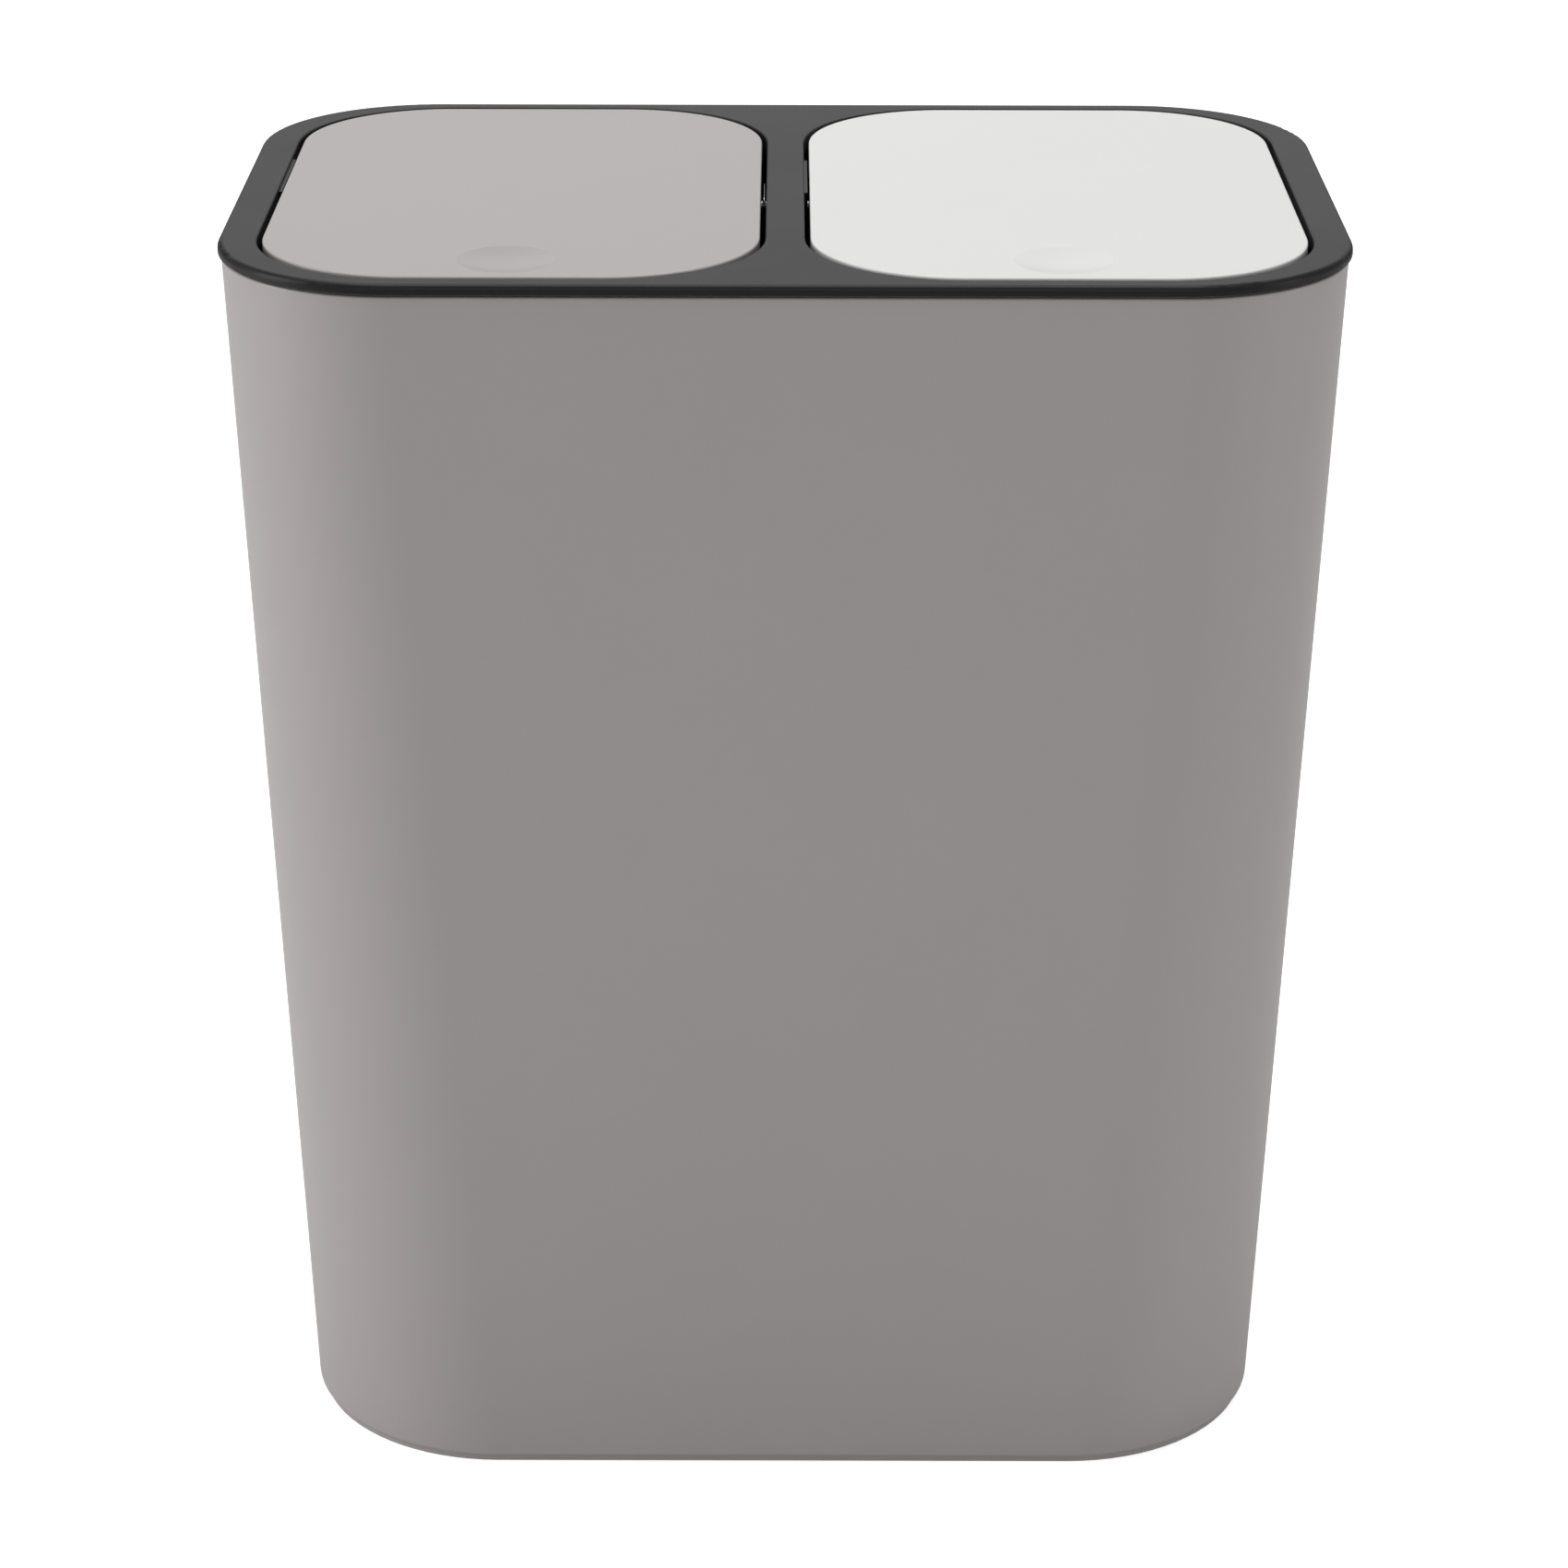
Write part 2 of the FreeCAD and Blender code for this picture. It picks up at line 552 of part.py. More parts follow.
def make_lid(name, side):
    """A lid: rounded plate with a turned-down edge, a fingertip dimple and two pivot ears."""
    body = new_body(f"{name}_lid")
    centre = f"{side} * lid_centre"
    outline = oval(centre, "0", "lid_wide", "lid_deep", "lid_corner")
    extrude(body, "Plate", "XY_Plane", [outline], "lid_edge_low", "lid_top")
    round_edges(body, "TopEdge", "lid_edge_round", at_level("lid_top"))
    extrude(body, "Underside", "XY_Plane", [inset(outline, "lid_flange_thick")],
            "lid_edge_low", "lid_plate_low", cut=True)
    dimple = body.newObject("PartDesign::SubtractiveSphere", "Dimple")
    dimple.AttachmentSupport = [(origin_plane(body, "XY_Plane"), "")]
    dimple.MapMode = "FlatFace"
    ball = "((dimple_wide / 2) ^ 2 + dimple_deep ^ 2) / (2 * dimple_deep)"
    dimple.setExpression("Radius", of(ball))
    dimple.setExpression("AttachmentOffset.Base.x", of(centre))
    dimple.setExpression("AttachmentOffset.Base.y", of("dimple_back - lid_deep / 2"))
    dimple.setExpression("AttachmentOffset.Base.z", of(f"lid_top - dimple_deep + {ball}"))
    doc.recompute()
    ears = (
        ("Left", f"{centre} - plain_ear_face", f"{centre} - plain_ear_face + ear_thick"),
        ("Right", f"{centre} + spring_ear_face - ear_thick", f"{centre} + spring_ear_face"),
    )
    for hand, start, stop in ears:
        plate = ("box", "hinge_back - ear_wide / 2", "hinge_back + ear_wide / 2",
                 "hinge_level", "lid_plate_low + lid_thick / 2")
        boss = ("circle", "hinge_back", "hinge_level", "ear_wide")
        bore = ("circle", "hinge_back", "hinge_level", "pin_hole")
        extrude(body, f"{hand}Ear", "YZ_Plane", [plate], start, stop)
        extrude(body, f"{hand}Boss", "YZ_Plane", [boss], start, stop)
        extrude(body, f"{hand}Bore", "YZ_Plane", [bore], f"{start} - {PAST}",
                f"{stop} + {PAST}", cut=True)
    plate = oval(centre, "latch_place", "striker_plate_wide", "striker_plate_deep", "socket_rib")
    grown = inset(plate, "-socket_fit")
    extrude(body, "Socket", "XY_Plane", [inset(grown, "-socket_rib"), grown],
            "lid_plate_low - striker_plate_thick - seat_gap", "lid_plate_low + lid_thick / 4")
    return body


def origin_plane(body, role):
    return [item for item in body.Origin.OriginFeatures if item.Role == role][0]


def make_striker(name, side):
    """The arrow-headed striker that stands between the latch's claws."""
    body = new_body(f"{name}_striker")
    centre = f"{side} * lid_centre"
    plate = oval(centre, "latch_place", "striker_plate_wide", "striker_plate_deep", "socket_rib")
    plate_low = "lid_plate_low - striker_plate_thick"
    extrude(body, "Plate", "XY_Plane", [plate], plate_low, "lid_plate_low - socket_fit / 2")
    head_top = "striker_low + striker_head_high"
    half_stem = "striker_stem / 2"
    half_head = "striker_head / 2"
    arrow = (
        (f"{centre} - {half_stem}", f"{plate_low} + striker_plate_thick / 2"),
        (f"{centre} - {half_stem}", head_top),
        (f"{centre} - {half_head}", head_top),
        (f"{centre} - {half_head}", f"{head_top} - striker_head_high / 3"),
        (f"{centre} - {half_stem} / 2", "striker_low"),
        (f"{centre} + {half_stem} / 2", "striker_low"),
        (f"{centre} + {half_head}", f"{head_top} - striker_head_high / 3"),
        (f"{centre} + {half_head}", head_top),
        (f"{centre} + {half_stem}", head_top),
        (f"{centre} + {half_stem}", f"{plate_low} + striker_plate_thick / 2"),
    )
    extrude(body, "Arrow", "XZ_Plane", [("polygon", arrow)],
            "latch_place - striker_deep / 2", "latch_place + striker_deep / 2")
    return body


def make_pin(label, inner_face, outward, length):
    """A steel hinge pin: its head lies inside the ear, its shank runs out into the frame."""
    body = new_body(label)
    head = ("circle", "hinge_back", "hinge_level", "pin_head_wide")
    shank = ("circle", "hinge_back", "hinge_level", "pin_wide")
    near = f"{inner_face} - {outward} * pin_fit"
    far = f"{near} - {outward} * pin_head_thick"
    tip = f"{near} + {outward} * ({length})"
    head_ends = (far, near) if outward > 0 else (near, far)
    shank_ends = (near, tip) if outward > 0 else (tip, near)
    extrude(body, "Head", "YZ_Plane", [head], *head_ends)
    extrude(body, "Shank", "YZ_Plane", [shank], *shank_ends)
    return body


def make_pins(name, side):
    """The two pins of a lid: a short one at the left ear, a long one through the spring."""
    centre = f"{side} * lid_centre"
    left_face = f"{centre} - plain_ear_face + ear_thick"
    right_face = f"{centre} + spring_ear_face - ear_thick"
    left_long = "ear_thick + lid_gap + pin_bearing"
    right_long = "ear_thick + opening_wide / 2 - spring_ear_face + pin_bearing"
    return [make_pin(f"{name}_lid_left_pin", left_face, -1, left_long),
            make_pin(f"{name}_lid_right_pin", right_face, 1, right_long)]


# ------------------------------------------------------------------------------- springs

def arc_between(start, corner, end):
    """The arc from start to end whose end tangents meet at corner."""
    middle = (start + end) * 0.5
    half_chord = (end - start).Length / 2
    arm = (corner - start).Length
    half_turn = math.acos(min(1.0, half_chord / arm))
    out = corner - middle
    out.normalize()
    crown = middle + out * (half_chord * math.tan(half_turn / 2))
    return Part.Arc(start, crown, end).toShape()


def biarc(start, start_way, end, end_way):
    """Two arcs that join two points and keep the direction at each."""
    chord = end - start
    ways = start_way + end_way
    a = 2 * (1 - start_way.dot(end_way))
    b = 2 * chord.dot(ways)
    c = -chord.dot(chord)
    arm = (-b + math.sqrt(b * b - 4 * a * c)) / (2 * a) if a > 1e-9 else -c / b
    first = start + start_way * arm
    second = end - end_way * arm
    join = (first + second) * 0.5
    return [arc_between(start, first, join), arc_between(join, second, end)]


def wind(centre, axis, zero, side_way, radius, pitch, steps, step_angle, first_angle):
    """Quarter-turn points and directions of a coil whose first and last step run level."""
    points = []
    ways = []
    for step in range(steps + 1):
        angle = math.radians(first_angle + step * step_angle)
        along = min(max(step - 0.5, 0), steps - 1) * pitch / 4
        out = zero * math.cos(angle) + side_way * math.sin(angle)
        tangent = side_way * math.cos(angle) - zero * math.sin(angle)
        level = step in (0, steps)
        way = tangent if level else tangent * (2 * math.pi * radius) + axis * pitch
        way.normalize()
        points.append(centre + out * radius + axis * along)
        ways.append(way)
    return points, ways


def least_gap(spots, wire, skip):
    """The least gap of a wire to itself, measured on points spaced along it."""
    closest = min((spots[later] - spots[earlier]).Length
                  for earlier in range(len(spots)) for later in range(earlier + skip, len(spots)))
    return closest - wire


def wire_solid(label, edges, wire):
    """A round wire drawn along joined edges, with its least gap to itself printed."""
    path = Part.Wire(edges)
    start = edges[0].valueAt(edges[0].FirstParameter)
    way = edges[0].tangentAt(edges[0].FirstParameter)
    ring = Part.Wire([Part.Circle(start, way, wire / 2).toShape()])
    solid = path.makePipeShell([ring], True, False)
    spacing = wire / 4
    spots = path.discretize(Distance=spacing)
    gap = least_gap(spots, wire, skip=math.ceil(math.pi * wire / spacing))
    print(f"{label}: least gap of the wire to itself {gap:.2f} mm")
    feature = doc.addObject("Part::Feature", label)
    feature.Label = label
    feature.Shape = solid
    return feature


def make_lid_spring(name, side):
    """The torsion spring on a lid's right-hand pin: one leg on the frame, one under the lid."""
    wall_place = value(f"{side} * lid_centre + coil_wall_place")
    radius = value("coil_wide") / 2
    centre = FreeCAD.Vector(wall_place, value("hinge_back"), value("hinge_level"))
    back = FreeCAD.Vector(0, 1, 0)
    up = FreeCAD.Vector(0, 0, 1)
    inward = FreeCAD.Vector(-1, 0, 0)
    steps = round(value("coil_turns") * 4)
    step_angle = (value("coil_turns") * 360 - value("coil_rise")) / steps
    points, ways = wind(centre, inward, back, up, radius, value("coil_pitch"), steps,
                        step_angle, 90)
    edges = [Part.LineSegment(points[0] - ways[0] * value("coil_fixed_leg"),
                              points[0]).toShape()]
    for step in range(steps):
        edges += biarc(points[step], ways[step], points[step + 1], ways[step + 1])
    edges.append(Part.LineSegment(points[-1],
                                  points[-1] + ways[-1] * value("coil_free_leg")).toShape())
    return wire_solid(f"{name}_lid_spring", edges, value("coil_wire"))


def make_latch_spring(name, side):
    """The compression spring that stands on the housing's floor, inside the slider."""
    centre = FreeCAD.Vector(value(f"{side} * lid_centre"),
                            value("latch_place - latch_coil_forward"), value("latch_coil_low"))
    steps = round(value("latch_coil_turns") * 4)
    points, ways = wind(centre, FreeCAD.Vector(0, 0, 1), FreeCAD.Vector(1, 0, 0),
                        FreeCAD.Vector(0, 1, 0), value("latch_coil_wide") / 2,
                        value("latch_coil_pitch"), steps, 90, 0)
    edges = []
    for step in range(steps):
        edges += biarc(points[step], ways[step], points[step + 1], ways[step + 1])
    return wire_solid(f"{name}_latch_spring", edges, value("latch_wire"))


# --------------------------------------------------------------------------- touch latch

def make_housing(name, side):
    """The latch housing: a deep box, open at the top, with a hole for the cam pin."""
    body = new_body(f"{name}_latch_housing")
    centre = f"{side} * lid_centre"
    outside = ("box", f"{centre} - housing_wide / 2", f"{centre} + housing_wide / 2",
               "latch_place - housing_deep / 2", "latch_place + housing_deep / 2")
    cavity = ("box", f"{centre} - cavity_wide / 2", f"{centre} + cavity_wide / 2",
              "latch_place - cavity_deep / 2", "latch_place + cavity_deep / 2")
    extrude(body, "Box", "XY_Plane", [outside], "housing_low", "housing_top")
    extrude(body, "Cavity", "XY_Plane", [cavity], "cavity_low", f"housing_top + {PAST}", cut=True)
    screw_hole = ("circle", "latch_place", "screw_level", "screw_hole")
    edge = "housing_wide / 2"
    extrude(body, "LeftPilot", "YZ_Plane", [screw_hole], f"{centre} - {edge} - {PAST}",
            f"{centre} - {edge} + housing_side", cut=True)
    extrude(body, "RightPilot", "YZ_Plane", [screw_hole],
            f"{centre} + {edge} - housing_side", f"{centre} + {edge} + {PAST}", cut=True)
    cam_hole = ("circle", centre, "slider_low + cam_wire", "cam_wire + 2 * pin_fit")
    extrude(body, "CamHole", "XZ_Plane", [cam_hole],
            f"latch_place + cavity_deep / 2 - {PAST}",
            f"latch_place + housing_deep / 2 + {PAST}", cut=True)
    return body


def make_slider(name, side):
    """The slider: a block on the spring, with two arms that end in claws."""
    body = new_body(f"{name}_latch_slider")
    centre = f"{side} * lid_centre"
    outside = ("box", f"{centre} - slider_wide / 2", f"{centre} + slider_wide / 2",
               "latch_place - slider_deep / 2", "latch_place + slider_deep / 2")
    extrude(body, "Block", "XY_Plane", [outside], "slider_low", "slider_low + slider_block")
    for hand, way in (("Left", -1), ("Right", 1)):
        outer = f"{centre} + {way} * slider_wide / 2"
        arm = f"{centre} + {way} * (slider_wide / 2 - arm_thick)"
        claw = f"{centre} + {way} * (slider_wide / 2 - arm_thick - claw_reach)"
        hook = (
            (outer, "slider_low + slider_block / 2"),
            (outer, "slider_top"),
            (arm, "slider_top"),
            (claw, "slider_top - claw_high / 2"),
            (claw, "slider_top - claw_high"),
            (arm, "slider_top - claw_high"),
            (arm, "slider_low + slider_block / 2"),
        )
        extrude(body, f"{hand}Arm", "XZ_Plane", [("polygon", hook)],
                "latch_place - slider_deep / 2", "latch_place + slider_deep / 2")
    bore = ("circle", centre, "latch_place - latch_coil_forward", "spring_bore_wide")
    extrude(body, "SpringBore", "XY_Plane", [bore], f"slider_low - {PAST}", "spring_bore_top",
            cut=True)
    back = "latch_place + slider_deep / 2"
    groove = ("box", f"{centre} - cam_groove_wide / 2", f"{centre} + cam_groove_wide / 2",
              f"slider_low - {PAST}", f"slider_low + slider_block + {PAST}")
    extrude(body, "CamGroove", "XZ_Plane", [groove], f"{back} - cam_groove_deep",
            f"{back} + {PAST}", cut=True)
    return body


def make_cam_pin(name, side):
    """The cam pin: bent wire with one end in the housing's back, one in the slider's track."""
    centre = value(f"{side} * lid_centre")
    low = value("slider_low + cam_wire")
    high = low + value("cam_pin_high - cam_wire")
    back = value("latch_place + slider_deep / 2 - cam_groove_deep + slide_fit + cam_wire / 2")
    bend = value("cam_wire")
    tip = value("latch_place + housing_deep / 2")
    spot = FreeCAD.Vector
    corner = spot(centre, back, low)
    edges = [
        Part.LineSegment(spot(centre, tip, low), spot(centre, back + bend, low)).toShape(),
        arc_between(spot(centre, back + bend, low), corner, spot(centre, back, low + bend)),
        Part.LineSegment(spot(centre, back, low + bend), spot(centre, back, high)).toShape(),
    ]
    return wire_solid(f"{name}_cam_pin", edges, value("cam_wire"))


def make_screws(name, side):
    """Two pan-head screws that hold the housing between the cheeks, as one group."""
    centre = f"{side} * lid_centre"
    seat = "cheek_face + cheek_thick + pin_fit"
    head = ("circle", "latch_place", "screw_level", "screw_head_wide")
    shank = ("circle", "latch_place", "screw_level", "screw_wide")
    screws = []
    for hand, way in (("left", -1), ("right", 1)):
        body = new_body(f"{name}_{hand}_latch_screw")
        near = f"{centre} + {way} * ({seat})"
        far = f"{centre} + {way} * ({seat} + screw_head_thick)"
        tip = f"{centre} + {way} * ({seat} - screw_long)"
        head_ends = (near, far) if way > 0 else (far, near)
        shank_ends = (tip, near) if way > 0 else (near, tip)
        extrude(body, "Head", "YZ_Plane", [head], *head_ends)
        extrude(body, "Shank", "YZ_Plane", [shank], *shank_ends)
        screws.append(body)
    group = doc.addObject("Part::Compound", f"{name}_latch_screws")
    group.Label = f"{name}_latch_screws"
    group.Links = screws
    return group


# ------------------------------------------------------------------------------- liners

def ends(side, near, far):
    """Two places across, in rising order, measured from the middle of the bin to a side."""
    return (near, far) if side > 0 else (f"-({far})", f"-({near})")


def liner_outline(side, near, far, half_deep, corner):
    """A liner's rounded outline from its inner to its outer wall."""
    return oval(f"{side} * (({near}) + ({far})) / 2", "0", f"({far}) - ({near})",
                f"2 * ({half_deep})", corner)


def make_liner(name, side):
    """A lift-out liner: tapered bucket with a lip and a tab for each end of its handle."""
    body = new_body(f"{name}_liner")
    low = liner_outline(side, "liner_in_low", "liner_out_low", "liner_half_low",
                        "liner_corner_low")
    high = liner_outline(side, "liner_in_top", "liner_out_top", "liner_half_top",
                         "liner_corner_top")
    taper(body, "Wall", round_base("liner_low", low, "liner_edge_round") + [("liner_rim", high)])
    extrude(body, "Lip", "XY_Plane", [inset(high, "-liner_lip")],
            "liner_rim - liner_lip_high", "liner_rim")
    tab = ("box", "-(tab_wide / 2)", "tab_wide / 2", "liner_rim - liner_lip_high / 2",
           "liner_rim + tab_high")
    inner_tab = ends(side, "liner_in_top", "liner_in_top + liner_wall")
    outer_tab = ends(side, "liner_out_top - liner_wall", "liner_out_top")
    extrude(body, "InnerTab", "YZ_Plane", [tab], *inner_tab)
    extrude(body, "OuterTab", "YZ_Plane", [tab], *outer_tab)
    inner = round_base("liner_low + liner_floor", inset(low, "liner_wall"),
                       "(liner_edge_round - liner_wall)")
    taper(body, "Inside", inner + [("liner_rim", inset(high, "liner_wall"))], cut=True)
    hole = ("circle", "0", "handle_level", "handle_pivot + 2 * pin_fit")
    extrude(body, "PivotHoles", "YZ_Plane", [hole],
            *ends(side, f"liner_in_top - liner_lip - {PAST}",
                  f"liner_out_top + liner_lip + {PAST}"), cut=True)
    return body


def make_handle(name, side):
    """A folding handle: a strip round the front half of the rim, with a stud at each end."""
    body = new_body(f"{name}_liner_handle")
    front = "liner_half_top - handle_gap"
    strip = liner_outline(side, "handle_in", "handle_out", front,
                          "liner_corner_top - liner_wall - handle_gap")
    extrude(body, "Strip", "XY_Plane", [strip, inset(strip, "handle_thick")],
            "handle_low", "handle_low + handle_high")
    rear = ("box", *ends(side, f"handle_in - {PAST}", f"handle_out + {PAST}"),
            "0", "liner_half_top")
    extrude(body, "OpenRear", "XY_Plane", [rear], f"handle_low - {PAST}",
            f"handle_low + handle_high + {PAST}", cut=True)
    eye = ("circle", "0", "handle_level", "handle_eye")
    stub = ("circle", "0", "handle_level", "handle_pivot")
    stud = ("circle", "0", "handle_level", "handle_stud_wide")
    tab_in = "liner_in_top - handle_gap"
    tab_out = "liner_out_top + handle_gap"
    extrude(body, "InnerEye", "YZ_Plane", [eye],
            *ends(side, "handle_in", "handle_in + handle_thick"))
    extrude(body, "OuterEye", "YZ_Plane", [eye],
            *ends(side, "handle_out - handle_thick", "handle_out"))
    extrude(body, "InnerStub", "YZ_Plane", [stub],
            *ends(side, tab_in, "handle_in + handle_thick / 2"))
    extrude(body, "OuterStub", "YZ_Plane", [stub],
            *ends(side, "handle_out - handle_thick / 2", tab_out))
    extrude(body, "InnerStud", "YZ_Plane", [stud],
            *ends(side, f"{tab_in} - handle_stud_thick", tab_in))
    extrude(body, "OuterStud", "YZ_Plane", [stud],
            *ends(side, tab_out, f"{tab_out} + handle_stud_thick"))
    return body


# ------------------------------------------------------------------------------ assembly

pieces = [make_outer_body(), make_lid_frame()]
for side_name, side_sign in SIDES:
    pieces.append(make_lid(side_name, side_sign))
    pieces.append(make_striker(side_name, side_sign))
    pieces += make_pins(side_name, side_sign)
    pieces.append(make_lid_spring(side_name, side_sign))
    pieces.append(make_housing(side_name, side_sign))
    pieces.append(make_slider(side_name, side_sign))
    pieces.append(make_latch_spring(side_name, side_sign))
    pieces.append(make_cam_pin(side_name, side_sign))
    pieces.append(make_screws(side_name, side_sign))
    pieces.append(make_liner(side_name, side_sign))
    pieces.append(make_handle(side_name, side_sign))
doc.recompute()

for item in doc.Objects:
    if "Invalid" in item.State or "Error" in item.State:
        raise ValueError(f"{item.Label} failed: {item.State}")
for piece in pieces:
    if piece.Shape.isNull() or not piece.Shape.isValid() or not piece.Shape.Solids:
        raise ValueError(f"{piece.Label} has no sound solid")

os.makedirs("parts", exist_ok=True)
for piece in pieces:
    piece.Shape.exportStep(f"parts/{piece.Label}.step")
    print(f"{piece.Label}: {len(piece.Shape.Solids)} solid, {piece.Shape.Volume / 1000:.2f} cm3")
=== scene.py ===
import math

import bmesh
import bpy
from mathutils import Matrix, Vector


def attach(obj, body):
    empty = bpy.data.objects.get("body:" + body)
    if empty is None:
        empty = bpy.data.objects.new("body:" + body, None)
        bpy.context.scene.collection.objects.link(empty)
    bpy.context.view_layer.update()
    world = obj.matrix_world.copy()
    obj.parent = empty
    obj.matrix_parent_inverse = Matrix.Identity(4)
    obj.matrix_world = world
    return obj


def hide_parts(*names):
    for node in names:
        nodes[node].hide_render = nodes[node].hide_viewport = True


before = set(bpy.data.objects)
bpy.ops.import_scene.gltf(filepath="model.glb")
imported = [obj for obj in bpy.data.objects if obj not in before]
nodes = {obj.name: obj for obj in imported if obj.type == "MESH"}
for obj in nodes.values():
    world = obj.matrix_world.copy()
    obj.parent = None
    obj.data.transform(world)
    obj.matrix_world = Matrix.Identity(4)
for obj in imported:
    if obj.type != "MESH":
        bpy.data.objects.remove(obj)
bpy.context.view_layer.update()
scene = bpy.context.scene

# ------------------------------------------------------------------------ studio and camera
# A white floor that runs on under the bin, a surround that is white to the camera alone, and
# soft lamps: overhead, behind, in front, a strong one on the left and a weak one on the right.

photo_side = 1700                       # the photograph's width and height in pixels
focal_pixels = 4578.4                   # the lens, as fitted to the bin's outline
sensor_width = 36.0                     # millimetres
camera_place = (0.0, -1.1385, 0.64695)
camera_pitch = 22.42                    # degrees below level
camera_roll = 0.127                     # degrees
level_shift = -0.0045                   # of the picture's width
surround_strength = 1.0                 # what the camera sees behind the bin
fill_strength = 0.24                    # what lights the bin from all round
floor_side = 12.0
floor_paper = (0.85, 0.85, 0.85, 1)
floor_glow = 0.72                       # added for the camera alone, so the shadow stays
lamp_target = (0, 0, 0.2)               # a little above the bin's middle
white = (1, 1, 1, 1)

camera_data = bpy.data.cameras.new("camera")
camera_data.sensor_width = sensor_width
camera_data.lens = focal_pixels / photo_side * sensor_width
camera_data.shift_y = level_shift
camera = bpy.data.objects.new("camera", camera_data)
camera.location = camera_place
turn = Matrix.Rotation(math.radians(90 - camera_pitch), 3, "X")
turn = turn @ Matrix.Rotation(math.radians(camera_roll), 3, "Z")
camera.rotation_euler = turn.to_euler()
scene.collection.objects.link(camera)
scene.camera = camera
scene.view_settings.view_transform = "Standard"

world = bpy.data.worlds.new("surround")
scene.world = world
world.use_nodes = True
tree = world.node_tree
tree.nodes.clear()
output = tree.nodes.new("ShaderNodeOutputWorld")
seen = tree.nodes.new("ShaderNodeBackground")
seen.inputs["Color"].default_value = white
seen.inputs["Strength"].default_value = surround_strength
fill = tree.nodes.new("ShaderNodeBackground")
fill.inputs["Color"].default_value = white
fill.inputs["Strength"].default_value = fill_strength
path = tree.nodes.new("ShaderNodeLightPath")
blend = tree.nodes.new("ShaderNodeMixShader")
tree.links.new(path.outputs["Is Camera Ray"], blend.inputs["Fac"])
tree.links.new(fill.outputs[0], blend.inputs[1])
tree.links.new(seen.outputs[0], blend.inputs[2])
tree.links.new(blend.outputs[0], output.inputs["Surface"])

floor_mesh = bpy.data.meshes.new("floor")
bm = bmesh.new()
bmesh.ops.create_grid(bm, x_segments=1, y_segments=1, size=floor_side / 2)
bm.to_mesh(floor_mesh)
bm.free()
floor = bpy.data.objects.new("floor", floor_mesh)
scene.collection.objects.link(floor)

floor_finish = bpy.data.materials.new("floor")
floor_finish.use_nodes = True
tree = floor_finish.node_tree
tree.nodes.clear()
output = tree.nodes.new("ShaderNodeOutputMaterial")
paper = tree.nodes.new("ShaderNodeBsdfDiffuse")
paper.inputs["Color"].default_value = floor_paper
glow = tree.nodes.new("ShaderNodeEmission")
path = tree.nodes.new("ShaderNodeLightPath")
lift = tree.nodes.new("ShaderNodeMath")
lift.operation = "MULTIPLY"
lift.inputs[1].default_value = floor_glow
add = tree.nodes.new("ShaderNodeAddShader")
tree.links.new(path.outputs["Is Camera Ray"], lift.inputs[0])
tree.links.new(lift.outputs[0], glow.inputs["Strength"])
tree.links.new(paper.outputs[0], add.inputs[0])
tree.links.new(glow.outputs[0], add.inputs[1])
tree.links.new(add.outputs[0], output.inputs["Surface"])
floor_mesh.materials.append(floor_finish)


def soft_lamp(name, place, size, watts):
    """A rectangular lamp that faces the bin."""
    data = bpy.data.lights.new(name, "AREA")
    data.shape = "RECTANGLE"
    data.size, data.size_y = size
    data.energy = watts
    lamp = bpy.data.objects.new(name, data)
    lamp.location = place
    way = Vector(lamp_target) - Vector(place)
    lamp.rotation_euler = way.to_track_quat("-Z", "Y").to_euler()
    scene.collection.objects.link(lamp)


soft_lamp("overhead", place=(0.0, 0.5, 2.1), size=(1.6, 1.6), watts=17)
soft_lamp("back_panel", place=(0.0, 1.9, 1.1), size=(2.6, 1.0), watts=5)
soft_lamp("front_panel", place=(0.0, -2.0, 1.4), size=(1.6, 0.8), watts=5)
soft_lamp("left_window", place=(-1.9, -0.3, 0.9), size=(0.7, 1.8), watts=16)
soft_lamp("right_fill", place=(1.9, -0.5, 0.8), size=(0.5, 1.6), watts=5.5)

# ------------------------------------------------------------------------------ outer body
# The tall tapered tub that everything stands in, moulded in taupe polypropylene with a fine
# matt grain. It has a low foot ring, and a rim that steps in under the frame, so that a dark
# line shows between the two.

foot_wide, foot_deep, foot_corner = 0.277, 0.178, 0.0565
frame_wide, frame_deep, frame_corner = 0.3, 0.198, 0.048
reveal = 0.0009                         # how far the body stands back under the frame's skirt
rim_wide, rim_deep = frame_wide - 2 * reveal, frame_deep - 2 * reveal
rim_corner = frame_corner - reveal
foot_high = 0.0018                      # the ring that it stands on
foot_inset = 0.0015
foot_thick = 0.0032
base_round = 0.0016
rim_level = 0.3495                      # the outer lip, below the frame's skirt
lip_round = 0.0006
rim_step = 0.0015                       # from the lip in to the upstand
rim_top = 0.3505                        # the upstand, which carries the frame
body_wall = 0.0024
body_floor = 0.0042
corner_steps = 20
round_steps = 5
loop_spacing = 0.05
crisp_angle = 30                        # degrees


def outline_loop(bm, wide, deep, corner, height):
    """A rounded rectangle made from a square with bevelled corners: its edges and height."""
    square = bmesh.ops.create_grid(bm, x_segments=1, y_segments=1, size=0.5)["verts"]
    bmesh.ops.scale(bm, vec=(wide, deep, 1), verts=square)
    cut = bmesh.ops.bevel(bm, geom=square, affect="VERTICES", offset=corner,
                          segments=corner_steps, profile=0.5, material=-1)
    face = cut["verts"][0].link_faces[0]
    edges = list(face.edges)
    bmesh.ops.delete(bm, geom=[face], context="FACES_ONLY")
    return edges, height


